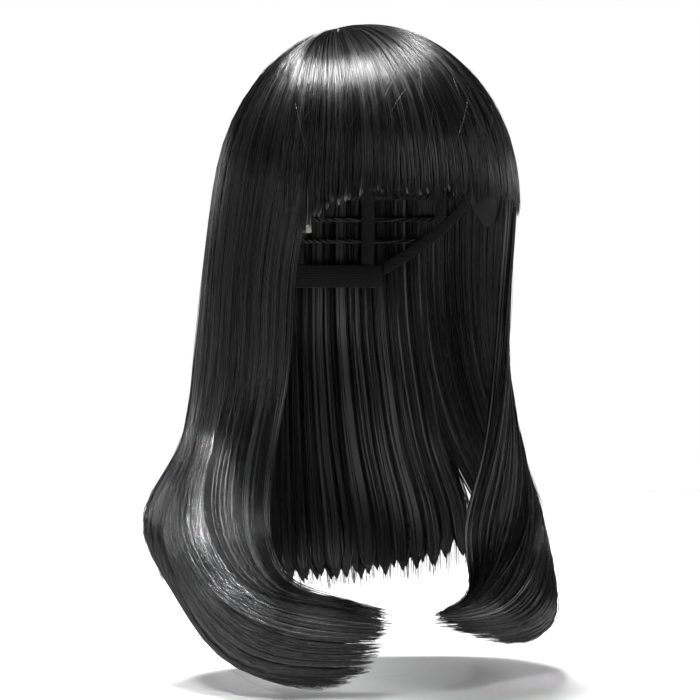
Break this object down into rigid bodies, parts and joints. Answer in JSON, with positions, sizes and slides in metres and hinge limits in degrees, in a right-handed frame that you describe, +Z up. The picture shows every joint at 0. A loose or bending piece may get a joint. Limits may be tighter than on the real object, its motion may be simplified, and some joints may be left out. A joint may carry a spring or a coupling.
{
  "type": "costume wig",
  "caption": "Long straight full-fringe wig on a wefted stretch cap, with falls that flare and curl forward at the ends; the locks swing and the nape adjusters slide.",
  "frame": {"origin": "middle of the lining disc's flat underside, where the crown of the wearer's head rests", "axes": "+Z up, -Y out of the face opening, +X the wearer's left"},
  "size_m": [0.2587, 0.2255, 0.4019],
  "materials": {
    "hair_fibre": "glossy straight synthetic fibre",
    "weft_track": "machine-sewn fibre track",
    "net_lace": "open knitted net",
    "velvet_band": "short-pile velvet over a band",
    "elastic_tape": "woven elastic",
    "lining_cloth": "plain soft lining",
    "skin_top": "matt moulded film",
    "tab_stay_steel": "soft bendable strip",
    "hook_plastic": "moulded",
    "label_satin": "blank satin"
  },
  "bodies": {
    "cap": {"crown_lining_disc": "lining_cloth", "crown_patch": "skin_top", "crown_net": "net_lace", "front_net_panel": "net_lace", "front_band": "velvet_band", "nape_band": "elastic_tape", "centre_back_tape": "elastic_tape", "left_ear_tab": "velvet_band", "left_tab_stay": "tab_stay_steel", "left_edge_binding": "elastic_tape", "left_side_tape": "elastic_tape", "left_back_tape": "elastic_tape", "right_ear_tab": "velvet_band", "right_tab_stay": "tab_stay_steel", "right_edge_binding": "elastic_tape", "right_side_tape": "elastic_tape", "right_back_tape": "elastic_tape", "crown_weft_1": "weft_track", "crown_weft_2": "weft_track", "crown_weft_3": "weft_track", "front_weft_1": "weft_track", "front_weft_2": "weft_track", "back_weft_1": "weft_track", "back_weft_2": "weft_track", "back_weft_3": "weft_track", "back_weft_4": "weft_track", "back_weft_5": "weft_track", "back_weft_6": "weft_track", "back_weft_7": "weft_track", "loop_tape": "elastic_tape", "care_label": "label_satin", "left_strap": "elastic_tape", "right_strap": "elastic_tape", "whorl_hair": "hair_fibre", "top_front_hair": "hair_fibre", "left_side_hair": "hair_fibre", "right_side_hair": "hair_fibre", "crown_back_hair": "hair_fibre"},
    "fringe": {"fringe_right": "hair_fibre", "fringe_centre": "hair_fibre", "fringe_left": "hair_fibre"},
    "right_curtain": {"right_curtain_front": "hair_fibre", "right_curtain_side": "hair_fibre", "right_curtain_rear": "hair_fibre"},
    "left_curtain": {"left_curtain_front": "hair_fibre", "left_curtain_side": "hair_fibre", "left_curtain_rear": "hair_fibre"},
    "back_fall": {"back_fall_right": "hair_fibre", "back_fall_centre": "hair_fibre", "back_fall_left": "hair_fibre"},
    "left_adjuster": {"left_hook": "hook_plastic"},
    "right_adjuster": {"right_hook": "hook_plastic"}
  },
  "joints": [
    {"name": "fringe_lift", "type": "hinge", "parent": "cap", "child": "fringe", "pos_m": [0, -0.0975, -0.0435], "axis": [-1, 0, 0], "range_deg": [0, 40]},
    {"name": "right_curtain_swing", "type": "hinge", "parent": "cap", "child": "right_curtain", "pos_m": [-0.099, 0, -0.0845], "axis": [0, 1, 0], "range_deg": [0, 35]},
    {"name": "left_curtain_swing", "type": "hinge", "parent": "cap", "child": "left_curtain", "pos_m": [0.099, 0, -0.0845], "axis": [0, -1, 0], "range_deg": [0, 35]},
    {"name": "back_fall_swing", "type": "hinge", "parent": "cap", "child": "back_fall", "pos_m": [0, 0.118, -0.0845], "axis": [1, 0, 0], "range_deg": [0, 35]},
    {"name": "left_adjuster_slide", "type": "slide", "parent": "cap", "child": "left_adjuster", "axis": [-0.8973, 0.4415, 0], "range_m": [0, 0.012], "stiffness_N_per_m": 40},
    {"name": "right_adjuster_slide", "type": "slide", "parent": "cap", "child": "right_adjuster", "axis": [0.8973, 0.4415, 0], "range_m": [0, 0.012], "stiffness_N_per_m": 40}
  ]
}
